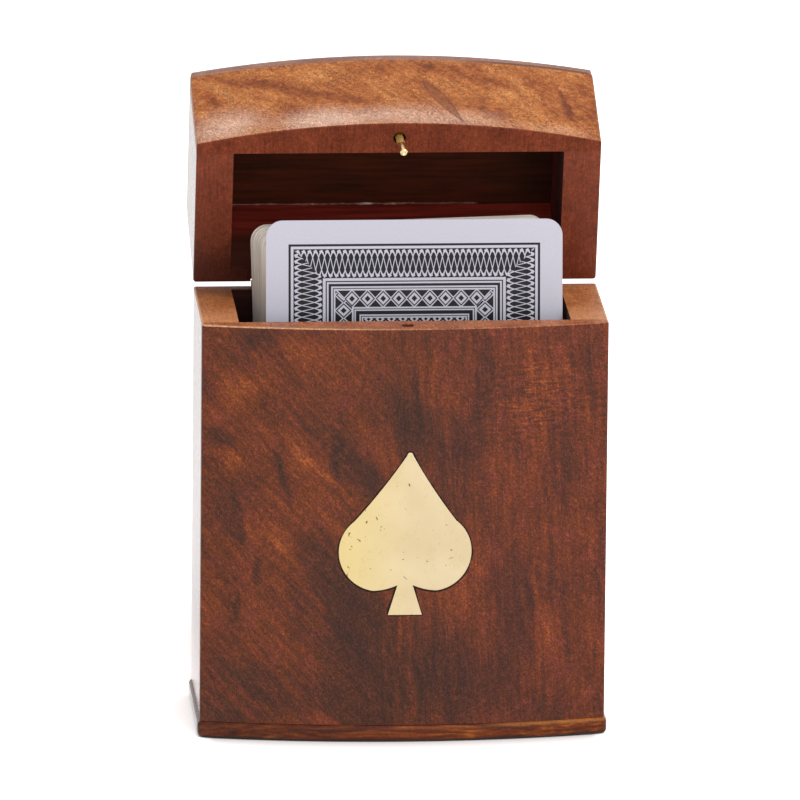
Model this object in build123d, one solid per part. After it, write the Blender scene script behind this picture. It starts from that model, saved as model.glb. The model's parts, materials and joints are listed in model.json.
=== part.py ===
from build123d import *
import math
import os
import random

# Flip-top box of hardwood boards for one deck of playing cards, with the deck in it. Millimetres.
# The origin is the centre of the base's underside, +X is to the right seen from the front,
# the bowed front faces -Y and +Z is up. The lid is drawn closed, then swung open about its hinge pins.

# Playing cards, leaning back in the box, which is sized to hold them
card_width = 57.0
card_height = 88.9
card_thickness = 0.26
card_gap = 0.01
card_corner_round = 3.2
loose_cards = 53  # the cards behind the front one
card_lean = 6.8  # degrees
card_fan_front = 0.3  # tilt in degrees of the loose cards at the front of the deck
card_fan_back = 1.7  # and of those at its back
card_fan_jitter = 0.08
card_foot_jitter = 0.12
jitter_seed = 7
front_card_rise = 2.5  # the front card has been slid up
front_card_shift = 0.5  # and a little to the left
deck_travel = 4.0  # how far the deck can rise with the lid closed

# Room round the deck
deck_foot_gap = 0.1
deck_back_gap = 0.25
deck_front_gap = 0.33
deck_head_gap = 0.74  # under the closed lid, above the deck at the top of its travel
deck_right_gap = 0.4  # the deck stands against the right side
deck_left_gap = 6.2  # and this is the room for a fingertip on its left

# Outside of the box
front_bow = 4.4  # how far the bowed front stands out past its corners
lid_top_bow = 3.7  # the lid's front is sanded flatter up to its top board
body_height = 81.7  # from the table to the rim of the body
rim_gap = 0.15  # between the two rims when the lid is closed
lid_open_angle = 72.0  # how far the lid stands open, in degrees from closed

# Boards
side_thickness = 7.2
back_thickness = 3.0
front_end_thickness = 2.2  # the front board is flat inside, so it is thinnest at its two ends
floor_thickness = 3.1
base_thickness = 3.3
lid_top_thickness = 3.4
base_overhang = 0.5
base_corner_round = 1.3
base_edge_round = 0.9
corner_round = 0.6  # upright corners of the body and the lid
rim_round = 0.25  # outer edges of both rims
lid_top_round = 2.2
lid_top_corner_round = 1.5

# Brass spade let into the front board. Its heights are above its own flat foot.
spade_foot_level = 25.2  # of the foot above the table
spade_height = 32.2
spade_half_width = 12.7
spade_widest_height = 11.4
spade_shoulder_half_width = 9.8
spade_shoulder_height = 18.6
spade_flank_hollow = 0.35  # how far the flanks bend inwards between shoulder and tip
spade_tip_shift = 0.8  # the tip was cut a little to the right
spade_tip_half_width = 0.6
spade_lobe_half_width = 6.2  # from the middle to the lowest point of each lobe
spade_lobe_height = 4.8
spade_lobe_hollow = 0.28  # how far the edge rises above that point on its way to the waist
spade_waist_half_width = 1.5
spade_waist_height = 5.9
spade_foot_half_width = 3.3
spade_thickness = 1.2
inlay_gap = 0.05

# Brass locating pin in the lid's front board, and its slot in the body's front board
pin_radius = 0.75
pin_length = 5.6  # the part that stands out of the rim
pin_depth = 6.0  # the part that sits in the wood
pin_lean = 5.5  # degrees to the right
pin_seat_gap = 0.05
pin_countersink = 0.4
pin_tip_chamfer = 0.2
pin_dimple_radius = 0.36
slot_side_gap = 0.12
slot_front_gap = 0.65  # the tip of the pin swings outwards as the lid opens
slot_back_gap = 0.3
slot_end_gap = 0.8
slot_corner_round = 0.9

# Two brass butt hinges, let in flush with the back face
hinge_inset = 11.2  # from the box's sides in to the hinges' ends
hinge_length = 18.0
hinge_offset = 0.55  # from the back face out to the hinge pins
knuckle_radius = 0.9
knuckle_gap = 0.2
hinge_pin_radius = 0.45
hinge_pin_end_round = 0.15
hinge_running_gap = 0.05
leaf_thickness = 0.6
leaf_reach = 7.0  # from the hinge pin to the leaf's far edge
leaf_notch = 1.25  # from the hinge pin to the edge that clears the other leaf's knuckles
leaf_shy = 0.15  # from the hinge pin to the near edge of the knuckles' tabs
leaf_corner_round = 0.8
mortise_gap = 0.1  # round each leaf in its recess
nail_spacing = 11.0
nail_inset = 2.4  # from the leaf's far edge
nail_radius = 0.45
nail_depth = 2.2  # below the back face
nail_head_radius = 0.95
nail_head_height = 0.35
nail_head_round = 0.25
nail_gap = 0.05

# The deck's own size
lean = math.radians(card_lean)
deck_thickness = loose_cards * (card_thickness + card_gap)  # without the front card
deck_reach = card_height + card_width * math.sin(math.radians(card_fan_back + card_fan_jitter))
deck_setback = (deck_reach + deck_travel) * math.sin(lean)

# Places worked out from the sizes above
inside_depth = deck_front_gap + deck_thickness * math.cos(lean) + deck_setback + deck_back_gap
side_depth = front_end_thickness + inside_depth + back_thickness
depth = side_depth + front_bow
back_face = depth / 2
back_inner = back_face - back_thickness
front_crest = -depth / 2
front_corner = back_face - side_depth
front_inner = front_corner + front_end_thickness
inner_half_width = (deck_left_gap + card_width + deck_right_gap) / 2
half_width = inner_half_width + side_thickness
bow_radius = (half_width**2 + front_bow**2) / (2 * front_bow)
bow_centre = front_crest + bow_radius
floor_top = base_thickness + floor_thickness
deck_foot = floor_top + deck_foot_gap
deck_height = (deck_thickness + card_thickness) * math.sin(lean)
deck_height += (deck_reach + front_card_rise + deck_travel) * math.cos(lean)
lid_rim = body_height + rim_gap
lid_ceiling = deck_foot + deck_height + deck_head_gap
lid_top_face = lid_ceiling + lid_top_thickness
hinge_y = back_face + hinge_offset
hinge_z = body_height + rim_gap / 2
pin_y = (front_crest + front_inner) / 2


def block(x_range, y_range, z_range):
    """A rectangular solid between the given limits."""
    ranges = [sorted(limits) for limits in (x_range, y_range, z_range)]
    sizes = [high - low for low, high in ranges]
    middle = [(low + high) / 2 for low, high in ranges]
    return Pos(*middle) * Box(*sizes)


def bowed_face(bow, outset, back, z):
    """A level face from y = back to a bowed front, grown by outset at its sides and front."""
    half = half_width + outset
    crest = front_crest - outset
    radius = (half_width**2 + bow**2) / (2 * bow) + outset
    corner = crest + radius - math.sqrt(radius**2 - half**2)
    straight = Polyline((-half, corner), (-half, back), (half, back), (half, corner))
    arc = ThreePointArc((half, corner), (0, crest), (-half, corner))
    return Pos(0, 0, z) * make_face([straight, arc])


def bowed_slab(bow, outset, back, z_range):
    """A slab of one bow from y = back to its front, grown by outset at its sides and front."""
    low, high = z_range
    return extrude(bowed_face(bow, outset, back, low), high - low, dir=(0, 0, 1))


def upright_edges(solid, z_range):
    """The solid's edges that run from one height to the other."""
    low, high = z_range
    middle = (low + high) / 2
    return solid.edges().filter_by(lambda edge: abs(edge.center().Z - middle) < rim_round)


def corner_edges(solid, z_range, inner_y):
    """A full-width board's upright edges at its outer corners, away from the box's hollow."""
    uprights = upright_edges(solid, z_range)
    return uprights.filter_by(lambda edge: abs(edge.center().Y - inner_y) > rim_round)


def rim_edges(solid, rim, inner_y):
    """The outer edges of a full-width board's rim, without the one against the box's hollow."""
    at_rim = solid.edges().filter_by(lambda edge: abs(edge.center().Z - rim) < rim_round / 2)
    return at_rim.filter_by(lambda edge: abs(edge.center().Y - inner_y) > rim_round)


def front_board(slab, z_range, rim):
    """A front board, bowed outside and flat inside, with its outer edges eased."""
    board = fillet(corner_edges(slab, z_range, front_inner), corner_round)
    return fillet(rim_edges(board, rim, front_inner), rim_round)


def back_board(z_range, rim):
    """A flat back board of the box's full width, with its outer edges eased."""
    board = block((-half_width, half_width), (back_inner, back_face), z_range)
    board = fillet(corner_edges(board, z_range, back_inner), corner_round)
    return fillet(rim_edges(board, rim, back_inner), rim_round)


def side_board(side, z_range, rim):
    """A side board between the front and back boards: side is -1 for left, 1 for right."""
    board = block((side * inner_half_width, side * half_width), (front_inner, back_inner), z_range)
    lengthwise = board.edges().filter_by(Axis.Y)
    at_rim = lengthwise.filter_by(lambda edge: abs(edge.center().Z - rim) < rim_round)
    outer = at_rim.filter_by(lambda edge: abs(edge.center().X) > half_width - rim_round)
    return fillet(outer, rim_round)


def spade_flank(side):
    """One half of the spade's outline, in order from the middle of its foot to its tip."""
    foot = (side * spade_foot_half_width, 0)
    waist = (side * spade_waist_half_width, spade_waist_height)
    lobe = (side * spade_lobe_half_width, spade_lobe_height)
    widest = (side * spade_half_width, spade_widest_height)
    shoulder = (side * spade_shoulder_half_width, spade_shoulder_height)
    tip = (spade_tip_shift + side * spade_tip_half_width, spade_height - spade_tip_half_width)
    under_lobe = ((waist[0] + lobe[0]) / 2, spade_lobe_height + spade_lobe_hollow)
    hollow = ((shoulder[0] + tip[0]) / 2 - side * spade_flank_hollow, (shoulder[1] + tip[1]) / 2)
    return [
        Line((0, 0), foot),
        Line(foot, waist),
        ThreePointArc(waist, under_lobe, lobe),
        ThreePointArc(lobe, widest, shoulder),
        ThreePointArc(shoulder, hollow, tip),
    ]


def spade_prism(gap):
    """The spade's outline, grown by the gap, pushed forwards through the front board."""
    right = spade_flank(1)
    left = spade_flank(-1)
    tip = ThreePointArc(right[-1] @ 1, (spade_tip_shift, spade_height), left[-1] @ 1)
    face = make_face(right + [tip] + left)
    if gap:
        face = offset(face, gap, kind=Kind.INTERSECTION)
    upright = Plane(origin=(0, front_inner, spade_foot_level), x_dir=(1, 0, 0), z_dir=(0, -1, 0))
    return extrude(upright * face, front_inner - front_crest + spade_thickness)


def bow_cylinder(radius):
    """An upright cylinder about the middle of the bow, taller than the box."""
    return Pos(0, bow_centre, body_height / 2) * Cylinder(radius, 2 * body_height)


def spade_inlay():
    """The brass spade, flush with the front and bent to its bow."""
    return spade_prism(0) & (bow_cylinder(bow_radius) - bow_cylinder(bow_radius - spade_thickness))


def spade_pocket():
    """The recess for the spade, with the inlay's gap all round and under it."""
    return spade_prism(inlay_gap) - bow_cylinder(bow_radius - spade_thickness - inlay_gap)


def pin_axis(distance):
    """Moves a shape to the locating pin's axis, this far out of the lid's rim."""
    lean = Rot(0, 180 - pin_lean, 0)
    return Pos(0, pin_y, lid_rim) * lean * Pos(0, 0, distance)


def locating_pin():
    """The brass pin, chamfered and centre-punched at its tip."""
    length = pin_length + pin_depth
    pin = Cylinder(pin_radius, length)
    pin = chamfer(pin.edges().sort_by(Axis.Z)[-1], pin_tip_chamfer)
    dimple = Cone(0, pin_dimple_radius, pin_dimple_radius)
    pin = pin - Pos(0, 0, (length - pin_dimple_radius) / 2) * dimple
    return pin_axis((pin_length - pin_depth) / 2) * pin


def pin_hole():
    """The hole for the pin in the lid's front board, countersunk at the rim."""
    radius = pin_radius + pin_seat_gap
    hole = pin_axis(-pin_depth / 2) * Cylinder(radius, pin_depth + 2 * pin_seat_gap)
    sink = pin_axis(-pin_countersink / 2) * Cone(radius, radius + pin_countersink, 2 * pin_countersink)
    return hole + sink


def pin_slot():
    """The slot in the body's rim, with room for the pin's lean and for the arc that its tip follows."""
    drift = pin_length * math.tan(math.radians(pin_lean))
    x_size = 2 * (pin_radius + slot_side_gap) + drift
    y_size = 2 * pin_radius + slot_front_gap + slot_back_gap
    y_middle = pin_y + (slot_back_gap - slot_front_gap) / 2
    slot_depth = pin_length + slot_end_gap
    outline = Pos(drift / 2, y_middle, body_height) * RectangleRounded(x_size, y_size, slot_corner_round)
    return extrude(outline, slot_depth, dir=(0, 0, -1))


def along_x(x, y, z):
    """Moves a shape there and turns its own Z to lie along X."""
    return Pos(x, y, z) * Rot(0, 90, 0)


def nail_places(hinge_x, side):
    """The centres of a leaf's two nails on the back face: side is -1 on the body, 1 on the lid."""
    z = hinge_z + side * (leaf_reach - nail_inset)
    return [(hinge_x + step * nail_spacing / 2, z) for step in (-1, 1)]


def leaf_mortise(hinge_x, side):
    """The recess for a leaf and its knuckles: side is -1 in the body's back, 1 in the lid's."""
    reach_x = hinge_length / 2 + mortise_gap
    y_range = (back_face - leaf_thickness - mortise_gap, hinge_y)
    z_range = (hinge_z, hinge_z + side * (leaf_reach + mortise_gap))
    return block((hinge_x - reach_x, hinge_x + reach_x), y_range, z_range)


def nail_holes(hinge_x, side):
    """Clearance for a leaf's nails, through the leaf and into the board."""
    hole = Rot(90, 0, 0) * Cylinder(nail_radius + nail_gap, 2 * (nail_depth + nail_gap))
    return [Pos(x, back_face, z) * hole for x, z in nail_places(hinge_x, side)]


def nails(side):
    """The domed nails of both hinges' leaves on one side of the joint."""
    head = Cylinder(nail_head_radius, nail_head_height)
    head = fillet(head.edges().sort_by(Axis.Z)[-1], nail_head_round)
    nail = Cylinder(nail_radius, nail_depth) + Pos(0, 0, (nail_depth + nail_head_height) / 2) * head
    middle_y = back_face - nail_depth / 2
    places = [place for x in hinge_middles for place in nail_places(x, side)]
    return [Pos(x, middle_y, z) * Rot(-90, 0, 0) * nail for x, z in places]


def knuckle_ranges(hinge_x):
    """The three knuckles' limits along the hinge pin."""
    length = (hinge_length - 2 * knuckle_gap) / 3
    starts = [hinge_x - hinge_length / 2 + i * (length + knuckle_gap) for i in range(3)]
    return [(start, start + length) for start in starts]


def hinge_leaf(hinge_x, side):
    """A leaf with its knuckles: the body's has the outer two, and the lid's has the middle one."""
    x_range = (hinge_x - hinge_length / 2, hinge_x + hinge_length / 2)
    y_range = (back_face - leaf_thickness, back_face)
    leaf = block(x_range, y_range, (hinge_z + side * leaf_notch, hinge_z + side * leaf_reach))
    far = leaf.edges().filter_by(Axis.Y).sort_by(Axis.Z)
    leaf = fillet(far[-2:] if side > 0 else far[:2], leaf_corner_round)
    first, middle, last = knuckle_ranges(hinge_x)
    for low, high in [middle] if side > 0 else [first, last]:
        place = along_x((low + high) / 2, hinge_y, hinge_z)
        leaf += block((low, high), y_range, (hinge_z + side * leaf_shy, hinge_z + side * leaf_notch))
        leaf += place * Cylinder(knuckle_radius, high - low)
    bore = Cylinder(hinge_pin_radius + hinge_running_gap, hinge_length + 2 * hinge_running_gap)
    leaf -= along_x(hinge_x, hinge_y, hinge_z) * bore
    for hole in nail_holes(hinge_x, side):
        leaf -= hole
    return leaf


def hinge_pin(hinge_x):
    """A hinge pin, rounded at both ends."""
    pin = Cylinder(hinge_pin_radius, hinge_length)
    pin = fillet(pin.edges().filter_by(GeomType.CIRCLE), hinge_pin_end_round)
    return along_x(hinge_x, hinge_y, hinge_z) * pin


def card(foot_x, foot_rise, tilt, place):
    """A card standing on its bottom left corner, tilted in its own plane, at its place in the deck."""
    outline = RectangleRounded(card_width, card_height, card_corner_round)
    outline = Pos(card_width / 2, card_height / 2) * outline
    flat = extrude(Rot(0, 0, tilt) * outline, card_thickness, dir=(0, 0, 1))
    return deck_plane * Pos(foot_x, foot_rise, place * (card_thickness + card_gap)) * flat


def card_deck():
    """The loose cards, from the back of the deck to its front, each a little out of line."""
    jitter = random.Random(jitter_seed)
    cards = []
    for place in range(loose_cards):
        share = place / (loose_cards - 1)
        tilt = card_fan_back + (card_fan_front - card_fan_back) * share
        tilt += jitter.uniform(-card_fan_jitter, card_fan_jitter)
        foot_x = card_foot_x + jitter.uniform(-card_foot_jitter, 0)
        cards.append(card(foot_x, 0, tilt, place))
    return cards


def open_lid(shape):
    """Swings a shape of the closed lid open about the hinge pins."""
    return shape.rotate(Axis((0, hinge_y, hinge_z), (1, 0, 0)), -lid_open_angle)


def hinged_back(z_range, rim, side):
    """A back board with the hinges' recesses and nail holes: side is -1 for the body's, 1 for the lid's."""
    board = back_board(z_range, rim)
    for hinge_x in hinge_middles:
        board -= leaf_mortise(hinge_x, side)
        for hole in nail_holes(hinge_x, side):
            board -= hole
    return board


def body_parts():
    """The boards and the inlay that stand on the table."""
    walls = (base_thickness, body_height)
    base = bowed_slab(front_bow, base_overhang, back_face + base_overhang, (0, base_thickness))
    base = fillet(base.edges().filter_by(Axis.Z), base_corner_round)
    base = fillet(base.edges().group_by(Axis.Z)[0] + base.edges().group_by(Axis.Z)[-1], base_edge_round)
    hollow_x = (-inner_half_width, inner_half_width)
    front = front_board(bowed_slab(front_bow, 0, front_inner, walls), walls, body_height)
    return {
        "front_panel": front - spade_pocket() - pin_slot(),
        "back_panel": hinged_back(walls, body_height, -1),
        "left_side": side_board(-1, walls, body_height),
        "right_side": side_board(1, walls, body_height),
        "floor_board": block(hollow_x, (front_inner, back_inner), (base_thickness, floor_top)),
        "base_plate": base,
        "spade_inlay": spade_inlay(),
    }


def lid_top():
    """The lid's top board, with a generous round over all its upper edges."""
    z_range = (lid_ceiling, lid_top_face)
    slab = bowed_slab(lid_top_bow, 0, back_face, z_range)
    soft_top = fillet(slab.edges().group_by(Axis.Z)[-1], lid_top_round)
    soft_corners = fillet(upright_edges(slab, z_range), lid_top_corner_round)
    return soft_top & soft_corners


def lid_parts():
    """The boards of the lid and its locating pin, drawn closed."""
    walls = (lid_rim, lid_ceiling)
    front_ends = [bowed_face(bow, 0, front_inner, z) for bow, z in zip((front_bow, lid_top_bow), walls)]
    front = front_board(loft(front_ends, ruled=True), walls, lid_rim)
    return {
        "lid_front": front - pin_hole(),
        "lid_back": hinged_back(walls, lid_rim, 1),
        "lid_left": side_board(-1, walls, lid_rim),
        "lid_right": side_board(1, walls, lid_rim),
        "lid_top": lid_top(),
        "locating_pin": locating_pin(),
    }


def hinge_parts():
    """The hinges' leaves and pins on the closed box, and which of them move with the lid."""
    fixed = {}
    moving = {}
    for name, hinge_x in zip(("left", "right"), hinge_middles):
        fixed[name + "_hinge_body_leaf"] = hinge_leaf(hinge_x, -1)
        fixed[name + "_hinge_pin"] = hinge_pin(hinge_x)
        moving[name + "_hinge_lid_leaf"] = hinge_leaf(hinge_x, 1)
    return fixed, moving


hinge_middles = [side * (half_width - hinge_inset - hinge_length / 2) for side in (-1, 1)]

# The deck's plane has its origin under the rear card, its X to the right and its Y up along the cards
deck_plane = Plane(
    origin=(0, back_inner - deck_back_gap - deck_setback, deck_foot),
    x_dir=(1, 0, 0),
    z_dir=(0, -math.cos(lean), math.sin(lean)),
)
card_foot_x = deck_left_gap - inner_half_width

hinge_fixed, hinge_moving = hinge_parts()
parts = {**body_parts(), **hinge_fixed, "body_hinge_nails": nails(-1)}
parts["front_card"] = card(card_foot_x - front_card_shift, front_card_rise, 0, loose_cards)
parts["card_deck"] = card_deck()
closed_lid = {**lid_parts(), **hinge_moving, "lid_hinge_nails": nails(1)}
for name, shape in closed_lid.items():
    parts[name] = [open_lid(solid) for solid in shape] if isinstance(shape, list) else open_lid(shape)

os.makedirs("parts", exist_ok=True)
for name, shape in parts.items():
    solids = shape if isinstance(shape, list) else [shape]
    solids = [solid for piece in solids for solid in piece.solids()]
    node = Compound(label=name, children=solids) if len(solids) > 1 else solids[0]
    export_step(node, os.path.join("parts", name + ".step"))
    print(name, len(solids), round(sum(solid.volume for solid in solids), 2))
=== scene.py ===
import json
import math

import bmesh
import bpy
from mathutils import Matrix, Vector, noise

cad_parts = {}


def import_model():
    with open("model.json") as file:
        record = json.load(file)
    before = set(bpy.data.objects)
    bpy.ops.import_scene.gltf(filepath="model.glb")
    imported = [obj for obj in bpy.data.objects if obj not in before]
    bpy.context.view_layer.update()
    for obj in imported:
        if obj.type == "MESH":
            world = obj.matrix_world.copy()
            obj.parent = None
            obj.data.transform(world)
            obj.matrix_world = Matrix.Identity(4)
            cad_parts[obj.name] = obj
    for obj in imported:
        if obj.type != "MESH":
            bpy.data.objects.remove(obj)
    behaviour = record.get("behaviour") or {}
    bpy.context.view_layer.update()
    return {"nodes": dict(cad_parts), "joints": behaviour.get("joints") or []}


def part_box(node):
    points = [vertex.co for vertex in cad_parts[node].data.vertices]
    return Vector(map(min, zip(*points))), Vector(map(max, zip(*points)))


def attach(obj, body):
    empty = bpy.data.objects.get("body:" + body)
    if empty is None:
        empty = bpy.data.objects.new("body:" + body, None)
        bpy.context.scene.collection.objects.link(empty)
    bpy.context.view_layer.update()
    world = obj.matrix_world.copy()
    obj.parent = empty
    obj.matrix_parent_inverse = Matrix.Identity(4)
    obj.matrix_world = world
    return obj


# The looks of a flip-top wooden box for playing cards. Metres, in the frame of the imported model.

MM = 0.001

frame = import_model()
nodes = frame["nodes"]

# Places read from the frame, in millimetres on the closed box
lid_joint = next(joint for joint in frame["joints"] if joint["name"] == "lid_hinge")
deck_joint = next(joint for joint in frame["joints"] if joint["name"] == "deck_lift")
hinge = Vector(lid_joint["pos_m"]) / MM
open_angle = -math.radians(lid_joint["range_deg"][0])
card_lean = math.atan2(deck_joint["axis"][1], deck_joint["axis"][2])


def box_mm(node):
    """A node's lowest and highest corners in millimetres."""
    low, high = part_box(node)
    return low / MM, high / MM


def places_mm(node):
    """A node's vertices in millimetres."""
    return [vertex.co / MM for vertex in nodes[node].data.vertices]


def closed_places(node):
    """A lid node's vertices in millimetres, with the lid turned down onto the box."""
    closing = Matrix.Rotation(open_angle, 3, "X")
    return [hinge + closing @ (place - hinge) for place in places_mm(node)]


front_low, front_high = box_mm("front_panel")
base_high = box_mm("base_plate")[1]
half_width = front_high.x
front_y = front_low.y
body_rim = front_high.z
base_side = base_high.x
base_top = base_high.z
inside_x = -box_mm("left_side")[1].x
inside_front = front_high.y
inside_back = box_mm("back_panel")[0].y
corner_places = [place for place in places_mm("front_panel") if abs(place.x) > half_width - 0.01]
bow_rise = min(place.y for place in corner_places) - front_y
rim_gap = 2 * (hinge.z - body_rim)
lid_rim = body_rim + rim_gap
lid_ceiling = min(place.z for place in closed_places("lid_top"))
lid_back_face = min(place.y for place in closed_places("lid_back"))
pin_places = [place for place in closed_places("locating_pin") if place.z > lid_rim]
pin_y = sum(place.y for place in pin_places) / len(pin_places)


# Fields and paints: numbers and colours that vary over a surface, worked out by shader nodes

class Field:
    """A number that varies over a surface. Arithmetic on it adds math nodes."""

    def __init__(self, tree, socket):
        self.tree = tree
        self.socket = socket

    def math(self, operation, *others, clamp=False):
        node = self.tree.nodes.new("ShaderNodeMath")
        node.operation = operation
        node.use_clamp = clamp
        for place, value in enumerate((self, *others)):
            plug(self.tree, value, node.inputs[place])
        return Field(self.tree, node.outputs[0])

    def __add__(self, other):
        return self.math("ADD", other)

    def __sub__(self, other):
        return self.math("SUBTRACT", other)

    def __rsub__(self, other):
        return self * -1.0 + other

    def __mul__(self, other):
        return self.math("MULTIPLY", other)

    def __truediv__(self, other):
        return self.math("DIVIDE", other)

    def abs(self):
        return self.math("ABSOLUTE")

    def clamped(self):
        return self.math("ADD", 0.0, clamp=True)

    def sine(self):
        return self.math("SINE")

    def lesser(self, other):
        return self.math("MINIMUM", other)

    def greater(self, other):
        return self.math("MAXIMUM", other)

    def power(self, exponent):
        return self.math("POWER", exponent)

    def hypot(self, other):
        """How far a place lies from a point, by its distances along two axes."""
        return (self * self + other * other).power(0.5)

    def wrapped(self, period):
        """The field repeated with this period, from minus to plus half of it."""
        return (self / period).math("ADD", 0.5).math("FRACT") * period - period / 2

    def step(self, low, high):
        """0 below low, 1 above high and smooth between them. It falls where low is the larger."""
        node = self.tree.nodes.new("ShaderNodeMapRange")
        node.interpolation_type = "SMOOTHSTEP"
        plug(self.tree, self, node.inputs["Value"])
        falls = low > high
        node.inputs["From Min"].default_value = high if falls else low
        node.inputs["From Max"].default_value = low if falls else high
        node.inputs["To Min"].default_value = 1.0 if falls else 0.0
        node.inputs["To Max"].default_value = 0.0 if falls else 1.0
        return Field(self.tree, node.outputs["Result"])


def plug(tree, value, socket):
    """Links a field or an output socket to a socket, or sets a plain value on it."""
    if isinstance(value, Field):
        tree.links.new(value.socket, socket)
    elif isinstance(value, bpy.types.NodeSocket):
        tree.links.new(value, socket)
    else:
        socket.default_value = value


def linear(red, green, blue):
    """A colour given in 0 to 255 as a screen shows it, in Blender's own linear values."""
    shown = (channel / 255 for channel in (red, green, blue))
    return [c / 12.92 if c <= 0.04045 else ((c + 0.055) / 1.055) ** 2.4 for c in shown] + [1.0]


class Paint:
    """One material: its node tree, its shader and the nodes that several finishes share."""

    def __init__(self, name, shader="ShaderNodeBsdfPrincipled"):
        self.material = bpy.data.materials.new(name)
        self.material.use_nodes = True
        self.tree = self.material.node_tree
        self.tree.nodes.clear()
        self.shader = self.tree.nodes.new(shader)
        output = self.tree.nodes.new("ShaderNodeOutputMaterial")
        self.tree.links.new(self.shader.outputs[0], output.inputs["Surface"])

    def set(self, name, value):
        plug(self.tree, value, self.shader.inputs[name])

    def place(self, turn=0.0, pivot=Vector((0, 0, 0))):
        """The surface's own place in millimetres, turned about an X axis through the pivot."""
        coordinates = self.tree.nodes.new("ShaderNodeTexCoord")
        to_mm = self.tree.nodes.new("ShaderNodeVectorMath")
        to_mm.operation = "SCALE"
        to_mm.inputs["Scale"].default_value = 1 / MM
        self.tree.links.new(coordinates.outputs["Object"], to_mm.inputs[0])
        mapping = self.tree.nodes.new("ShaderNodeMapping")
        mapping.inputs["Rotation"].default_value = (turn, 0, 0)
        mapping.inputs["Location"].default_value = pivot - Matrix.Rotation(turn, 3, "X") @ pivot
        self.tree.links.new(to_mm.outputs[0], mapping.inputs["Vector"])
        return mapping.outputs[0]

    def parts_of(self, vector):
        """The three numbers of a vector as fields."""
        split = self.tree.nodes.new("ShaderNodeSeparateXYZ")
        self.tree.links.new(vector, split.inputs[0])
        return [Field(self.tree, split.outputs[axis]) for axis in range(3)]

    def vector(self, x, y, z):
        """A vector from three fields or numbers."""
        join = self.tree.nodes.new("ShaderNodeCombineXYZ")
        for value, socket in zip((x, y, z), join.inputs):
            plug(self.tree, value, socket)
        return join.outputs[0]

    def noise(self, vector, size=1.0, detail=2.0, roughness=0.5, distortion=0.0):
        """Noise with features of about this size, from 0 to 1."""
        node = self.tree.nodes.new("ShaderNodeTexNoise")
        self.tree.links.new(vector, node.inputs["Vector"])
        node.inputs["Scale"].default_value = 1 / size
        node.inputs["Detail"].default_value = detail
        node.inputs["Roughness"].default_value = roughness
        node.inputs["Distortion"].default_value = distortion
        return Field(self.tree, node.outputs["Fac"])

    def ramp(self, field, stops):
        """Colours along a field: stops are pairs of a place and a colour."""
        node = self.tree.nodes.new("ShaderNodeValToRGB")
        elements = node.color_ramp.elements
        while len(elements) < len(stops):
            elements.new(0.5)
        for element, (position, colour) in zip(elements, stops):
            element.position = position
            element.color = colour
        plug(self.tree, field, node.inputs[0])
        return node.outputs["Color"]

    def mix(self, share, first, second, blend="MIX"):
        """The second colour over the first, by share."""
        node = self.tree.nodes.new("ShaderNodeMix")
        node.data_type = "RGBA"
        node.blend_type = blend
        plug(self.tree, share, node.inputs["Factor"])
        plug(self.tree, first, node.inputs["A"])
        plug(self.tree, second, node.inputs["B"])
        return node.outputs["Result"]

    def bump(self, height, distance, strength):
        """Raises the surface by a field, over a distance in millimetres."""
        node = self.tree.nodes.new("ShaderNodeBump")
        node.inputs["Strength"].default_value = strength
        node.inputs["Distance"].default_value = distance * MM
        plug(self.tree, height, node.inputs["Height"])
        self.tree.links.new(node.outputs["Normal"], self.shader.inputs["Normal"])


def dress(node, material):
    """Gives a CAD node its material."""
    mesh = nodes[node].data
    mesh.materials.clear()
    mesh.materials.append(material)


# Wood

def hollow_mask(wood):
    """1 on the faces that the box's hollow shows, and 0 on its rims and outside."""
    margin = 0.06
    end_margin = 0.15
    sides = (wood.x.abs() - inside_x).step(margin, margin / 2)
    front = (wood.y - inside_front).step(-margin, -margin / 2)
    back = (wood.y - inside_back).step(margin, margin / 2)
    if wood.lid:
        end = (wood.z - lid_ceiling).step(2 * end_margin, end_margin)
    else:
        end = (wood.z - base_top).step(-end_margin, 0.0)
    return sides * front * back * end


def rim_mask(wood):
    """1 on a board's rim, where the box opens."""
    reach = 0.2
    if wood.lid:
        return wood.z.step(lid_rim + reach, lid_rim + reach / 2)
    return wood.z.step(body_rim - reach, body_rim - reach / 2)


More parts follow.
